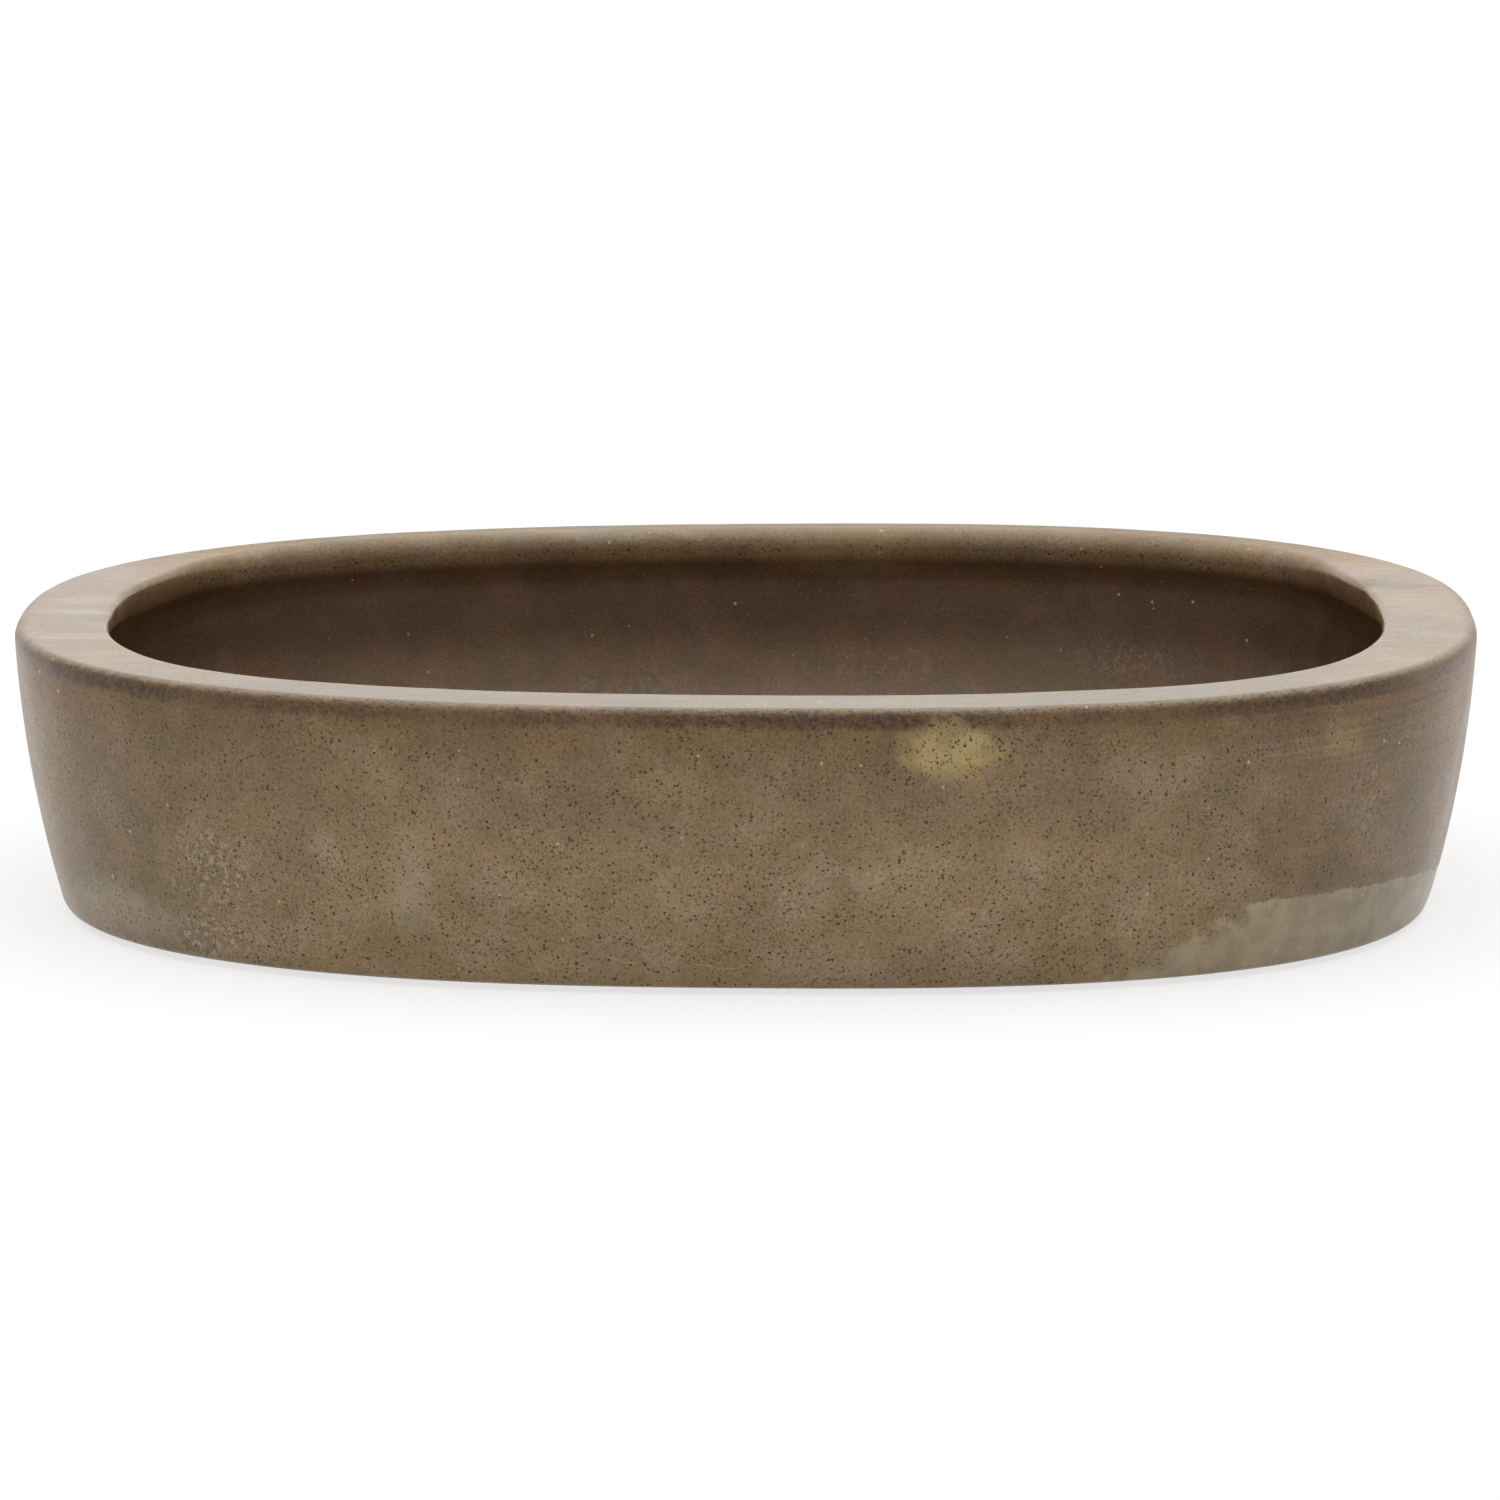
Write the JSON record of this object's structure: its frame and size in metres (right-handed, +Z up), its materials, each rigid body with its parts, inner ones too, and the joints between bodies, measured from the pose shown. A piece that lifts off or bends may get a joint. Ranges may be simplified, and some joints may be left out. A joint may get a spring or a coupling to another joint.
{
  "type": "concrete bowl planter",
  "caption": "Low oval bowl planter of glass-fibre concrete with a wide flat rim turned inwards, a plugged drain hole and rubber pads underneath.",
  "frame": {"origin": "on the ground under the middle of the bowl", "axes": "+Z up, +X along the length towards the blunter end, +Y towards the back"},
  "size_m": [0.7614, 0.6122, 0.148],
  "materials": {
    "concrete": "matt, fine pores, mottled warm grey-brown",
    "rubber_plug": "moulded, satin",
    "rubber_pads": "moulded, matt"
  },
  "bodies": {
    "planter": {"concrete_bowl": "concrete", "foot_pad_front_left": "rubber_pads", "foot_pad_front_right": "rubber_pads", "foot_pad_back_left": "rubber_pads", "foot_pad_back_right": "rubber_pads"},
    "drain_plug": {"drain_plug": "rubber_plug"}
  },
  "joints": [
    {"name": "drain_plug_pull", "type": "slide", "parent": "planter", "child": "drain_plug", "axis": [0, 0, 1], "range_m": [0, 0.15]}
  ]
}
